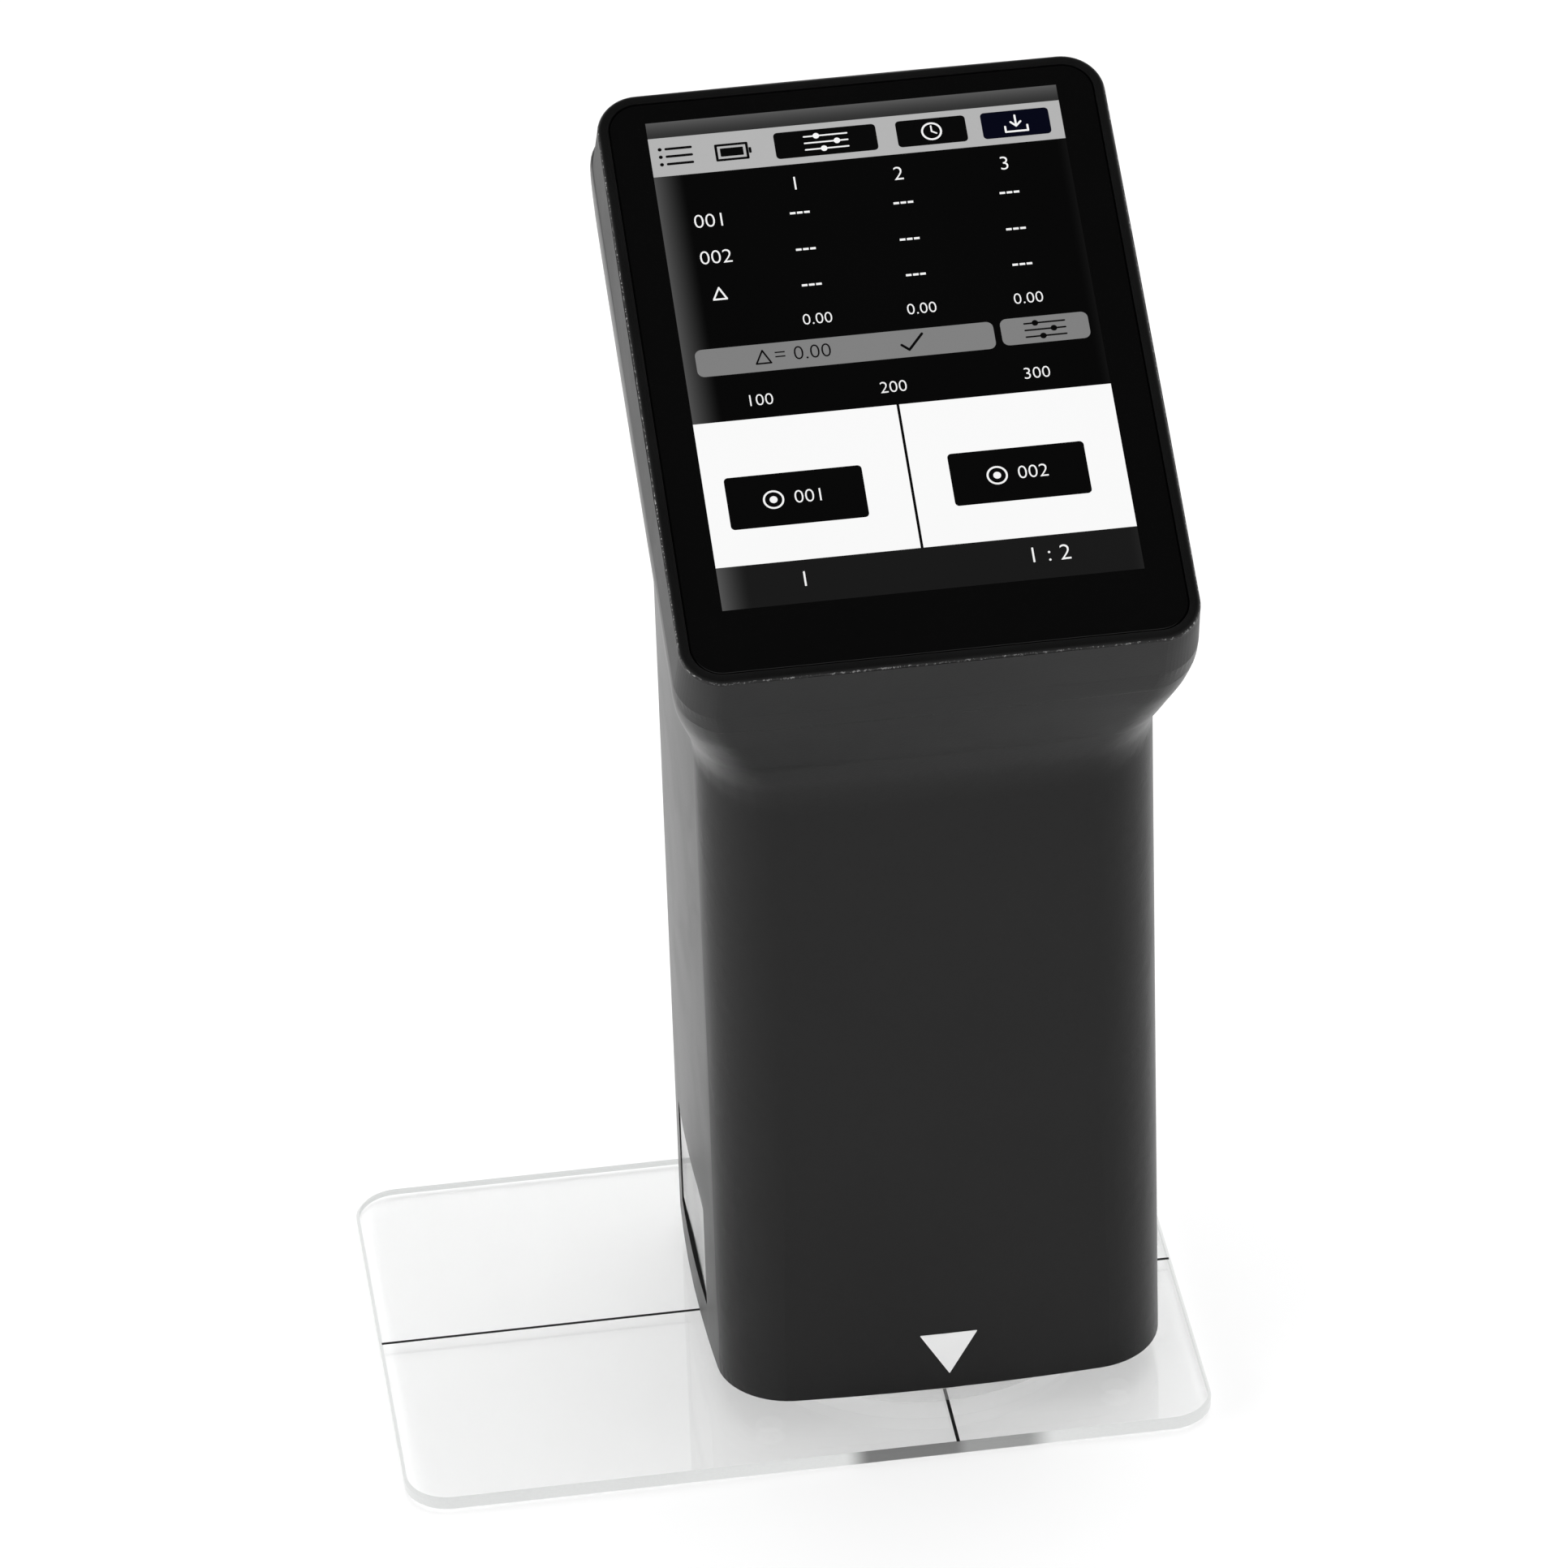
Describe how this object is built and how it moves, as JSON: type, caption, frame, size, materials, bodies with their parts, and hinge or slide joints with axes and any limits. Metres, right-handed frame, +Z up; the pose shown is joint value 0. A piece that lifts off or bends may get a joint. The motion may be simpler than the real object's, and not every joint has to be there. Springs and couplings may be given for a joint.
{
  "type": "hand-held colorimeter",
  "caption": "Upright colorimeter with a tilted touch display on a flared head, a side door over its charging socket and a clear locating plate below.",
  "frame": {"origin": "centre of the measuring aperture on the sample plane, which is the underside of the locating plate", "axes": "+Z up, -Y towards the user (the display faces up and to -Y), +X to the user's right"},
  "size_m": [0.1085, 0.0833, 0.1694],
  "materials": {
    "clear_acrylic": "clear, polished",
    "housing_black": "satin black moulding",
    "skirt_black": "satin black moulding",
    "rim_black": "polished black",
    "cover_glass": "black bordered cover glass",
    "display": "display panel",
    "door_gloss": "polished black",
    "collar_white": "off-white moulding",
    "nose_black": "black anodised",
    "window_glass": "clear window",
    "base_black": "black moulding",
    "steel": "plated screw",
    "seal_rubber": "thin seal",
    "bracket_metal": "folded sheet",
    "flex_amber": "flexible circuit",
    "board_green": "circuit board",
    "standoff_brass": "turned post",
    "sphere_white": "diffuse white lining",
    "led_clear": "clear emitter",
    "tube_black": "black anodised",
    "lens_glass": "clear lens",
    "chip_black": "sensor package",
    "cable_grey": "flat cable",
    "battery_wrap": "shrink sleeve",
    "cradle_black": "black moulding",
    "key_rubber": "soft touch key",
    "socket_steel": "pressed shell",
    "pin_steel": "ground pin"
  },
  "bodies": {
    "plate": {"locating_plate": "clear_acrylic", "plate_ring": "clear_acrylic"},
    "instrument": {"main_housing": "housing_black", "head_skirt": "skirt_black", "screen_frame": "rim_black", "touch_glass": "cover_glass", "base_cover": "base_black", "port_collar": "collar_white", "aperture_nose": "nose_black", "port_window": "window_glass", "base_screws": "steel", "skirt_screws": "steel", "glass_gasket": "seal_rubber", "display_panel": "display", "display_bracket": "bracket_metal", "display_flex": "flex_amber", "main_board": "board_green", "board_standoffs": "standoff_brass", "board_screws": "steel", "sphere_lower": "sphere_white", "sphere_upper": "sphere_white", "sphere_screws": "steel", "optics_screws": "steel", "lamp_board": "board_green", "lamp_led": "led_clear", "lamp_screws": "steel", "detector_tube": "tube_black", "detector_lens": "lens_glass", "colour_sensor": "chip_black", "sensor_board": "board_green", "tube_screws": "steel", "sensor_cable": "cable_grey", "battery": "battery_wrap", "battery_bracket": "cradle_black", "battery_screws": "steel", "door_pin": "pin_steel", "charge_board": "board_green", "charge_screws": "steel", "usb_socket": "socket_steel", "trigger_board": "board_green", "trigger_screws": "steel", "power_board": "board_green", "power_screws": "steel"},
    "door": {"port_door": "door_gloss"},
    "measure_key": {"measure_button": "key_rubber"},
    "power_key": {"power_button": "key_rubber"}
  },
  "joints": [
    {"name": "lift_off", "type": "slide", "parent": "plate", "child": "instrument", "axis": [0, 0, 1], "range_m": [0, 0.03]},
    {"name": "door_hinge", "type": "hinge", "parent": "instrument", "child": "door", "pos_m": [-0.0288, 0, 0.0266], "axis": [0, 1, 0], "range_deg": [0, 90]},
    {"name": "measure_press", "type": "slide", "parent": "instrument", "child": "measure_key", "axis": [0, -1, 0], "range_m": [0, 0.0012], "stiffness_N_per_m": 400},
    {"name": "power_press", "type": "slide", "parent": "instrument", "child": "power_key", "axis": [-1, 0, 0], "range_m": [0, 0.0012], "stiffness_N_per_m": 400}
  ]
}
